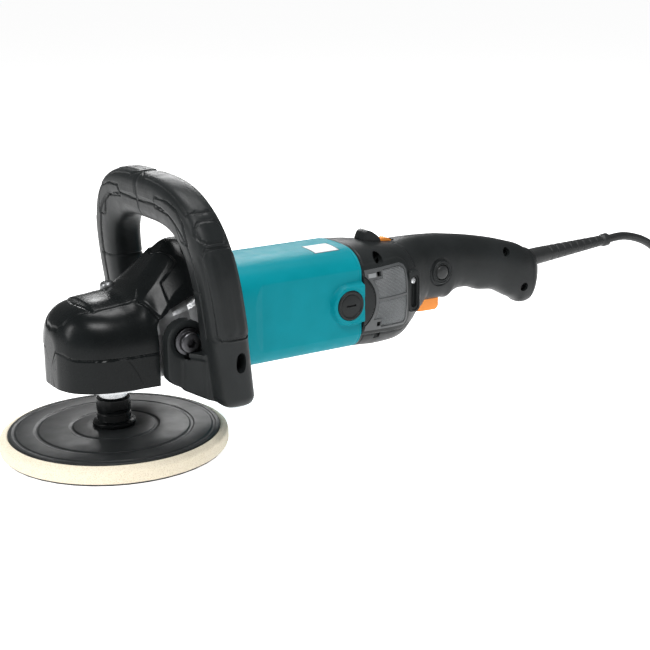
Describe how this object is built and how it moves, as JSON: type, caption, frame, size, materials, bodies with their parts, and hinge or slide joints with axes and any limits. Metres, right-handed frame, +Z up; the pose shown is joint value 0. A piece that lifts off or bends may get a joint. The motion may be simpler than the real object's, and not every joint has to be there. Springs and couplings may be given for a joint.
{
  "type": "rotary polisher",
  "caption": "Mains rotary polisher with a round foam pad, a loop handle over the gear head, a motor housing and a trigger handle with a coiled cord.",
  "frame": {"origin": "centre of the pad's working face, on the spindle's axis", "axes": "+Z up the spindle, +X along the motor from the spindle to the rear handle and cord"},
  "size_m": [0.849, 0.2482, 0.215],
  "materials": {
    "black_plastic": "satin",
    "black_rubber": "matte",
    "teal_plastic": "satin",
    "orange_plastic": "satin",
    "cast_aluminium": "satin",
    "steel": "satin",
    "dark_steel": "satin",
    "lamination": "matte",
    "copper": "satin",
    "brass": "satin",
    "carbon": "matte",
    "cream_foam": "matte",
    "hook_nylon": "matte",
    "grey_mesh": "matte"
  },
  "bodies": {
    "body": {"spindle_bearing": "steel", "needle_bearing": "steel", "bearing_box": "cast_aluminium", "head_screw_1": "steel", "head_screw_2": "steel", "head_screw_3": "steel", "head_screw_4": "steel", "gear_housing": "cast_aluminium", "head_cover": "black_plastic", "shaft_lock_spring": "steel", "loop_handle": "black_plastic", "loop_bolt_left": "dark_steel", "loop_bolt_right": "dark_steel", "motor_housing": "teal_plastic", "stator_core": "lamination", "field_coil_top": "copper", "field_coil_bottom": "copper", "front_bearing": "steel", "rear_bearing": "steel", "carbon_brush_left": "carbon", "carbon_brush_right": "carbon", "brush_holder_left": "brass", "brush_holder_right": "brass", "brush_cap_left": "black_plastic", "brush_cap_right": "black_plastic", "baffle_plate": "black_plastic", "handle_half_left": "black_plastic", "handle_half_right": "black_plastic", "trigger_spring": "steel", "switch_body": "black_plastic", "speed_controller": "black_plastic", "dust_screen_left": "grey_mesh", "dust_screen_right": "grey_mesh", "latch_screw_left": "steel", "latch_screw_right": "steel", "handle_screw_1": "dark_steel", "handle_screw_2": "dark_steel", "handle_screw_3": "dark_steel", "cord_guard": "black_rubber", "power_cord": "black_rubber", "cord_coil": "black_rubber", "plug_body": "black_rubber", "plug_blade_left": "brass", "plug_blade_right": "brass"},
    "spindle_group": {"hook_face": "hook_nylon", "foam_layer": "cream_foam", "backing_plate": "black_plastic", "pad_hub": "black_plastic", "spindle": "steel", "bevel_gear": "dark_steel"},
    "armature_group": {"armature_shaft": "steel", "armature_core": "lamination", "armature_windings": "copper", "commutator": "copper", "cooling_fan": "black_plastic", "pinion_gear": "dark_steel"},
    "shaft_lock": {"shaft_lock_button": "steel"},
    "trigger_body": {"trigger": "orange_plastic"},
    "lock_button_body": {"lock_button": "black_rubber"},
    "dial_body": {"speed_dial": "orange_plastic"}
  },
  "joints": [
    {"name": "spindle_spin", "type": "hinge", "parent": "body", "child": "spindle_group", "pos_m": [0, 0, 0], "axis": [0, 0, 1], "continuous": true},
    {"name": "armature_spin", "type": "hinge", "parent": "body", "child": "armature_group", "pos_m": [0.1, 0, 0.095], "axis": [1, 0, 0], "continuous": true},
    {"name": "shaft_lock_press", "type": "slide", "parent": "body", "child": "shaft_lock", "axis": [0, 0, -1], "range_m": [0, 0.004], "stiffness_N_per_m": 900, "springref_m": -0.004, "deforming": ["shaft_lock_spring"]},
    {"name": "trigger_pull", "type": "slide", "parent": "body", "child": "trigger_body", "axis": [0, 0, 1], "range_m": [0, 0.006], "stiffness_N_per_m": 900, "springref_m": -0.005, "deforming": ["trigger_spring"]},
    {"name": "lock_button_press", "type": "slide", "parent": "body", "child": "lock_button_body", "axis": [0, 1, 0], "range_m": [0, 0.0025], "stiffness_N_per_m": 700, "springref_m": -0.003},
    {"name": "speed_dial_turn", "type": "hinge", "parent": "body", "child": "dial_body", "pos_m": [0.2585, 0, 0.127], "axis": [0, 1, 0], "range_deg": [0, 270]}
  ],
  "couplings": [
    {"joint": "armature_spin", "follows": "spindle_spin", "ratio": 4}
  ]
}
